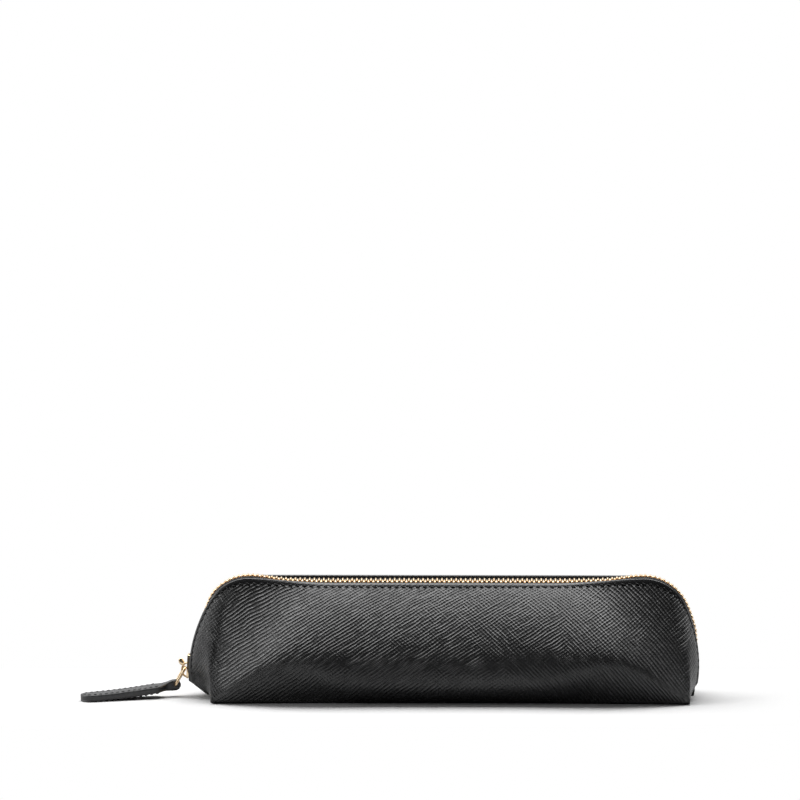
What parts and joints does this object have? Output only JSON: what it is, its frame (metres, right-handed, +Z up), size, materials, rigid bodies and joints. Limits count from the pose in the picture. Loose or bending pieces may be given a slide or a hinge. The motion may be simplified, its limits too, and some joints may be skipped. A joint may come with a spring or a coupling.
{
  "type": "pen case",
  "caption": "Slim zipped leather pen case with a flat base, pinched lower corners, a metal zip over the top and both ends, and a leather pull tab.",
  "frame": {"origin": "centre of the flat underside, between the four lower corners", "axes": "+X along the case towards the end where the open slider stops, +Y to the back, +Z up; the closed slider is at the -X end"},
  "size_m": [0.2483, 0.0454, 0.0488],
  "materials": {
    "grained_leather": "cross-grain, satin",
    "lining_cloth": "woven",
    "thread": "twisted thread",
    "zip_tape": "woven tape",
    "zip_metal": "polished, pale gold",
    "board": "matt fibre board",
    "spring_steel": "plain"
  },
  "bodies": {
    "base": {"base_leather": "grained_leather", "base_board": "board", "base_lining": "lining_cloth", "left_end_tab": "grained_leather", "right_end_tab": "grained_leather", "bottom_stop": "zip_metal"},
    "front_wall": {"front_leather": "grained_leather", "front_lining": "lining_cloth", "front_stitching": "thread", "front_tape": "zip_tape", "front_teeth": "zip_metal", "front_top_stop": "zip_metal"},
    "back_wall": {"back_leather": "grained_leather", "back_lining": "lining_cloth", "back_stitching": "thread", "back_tape": "zip_tape", "back_teeth": "zip_metal", "back_top_stop": "zip_metal"},
    "slider": {"slider_body": "zip_metal", "slider_bridge": "zip_metal", "slider_lock_spring": "spring_steel"},
    "link": {"pull_link": "zip_metal"},
    "tab": {"pull_tab": "grained_leather", "pull_tab_stitching": "thread"}
  },
  "joints": [
    {"name": "slider_travel", "type": "hinge", "parent": "base", "child": "slider", "pos_m": [-0.0452, 0, 0.00868], "axis": [0, 1, 0], "range_deg": [0, 20]},
    {"name": "front_wall_opening", "type": "hinge", "parent": "base", "child": "front_wall", "pos_m": [0, -0.019, 0.0015], "axis": [1, 0, 0], "range_deg": [0, 15], "deforming": ["front_tape", "front_teeth"]},
    {"name": "back_wall_opening", "type": "hinge", "parent": "base", "child": "back_wall", "pos_m": [0, 0.019, 0.0015], "axis": [-1, 0, 0], "range_deg": [0, 15], "deforming": ["back_tape", "back_teeth"]},
    {"name": "link_swing", "type": "hinge", "parent": "slider", "child": "link", "pos_m": [-0.10683, 0, 0.01177], "axis": [-0.1045, 0.9945, 0], "range_deg": [-25, 75]},
    {"name": "tab_swing", "type": "hinge", "parent": "link", "child": "tab", "pos_m": [-0.11085, -0.00042, 0.00476], "axis": [-0.1045, 0.9945, 0], "range_deg": [-60, 45]}
  ],
  "couplings": [
    {"joint": "front_wall_opening", "follows": "slider_travel", "ratio": 0.75},
    {"joint": "back_wall_opening", "follows": "slider_travel", "ratio": 0.75}
  ]
}
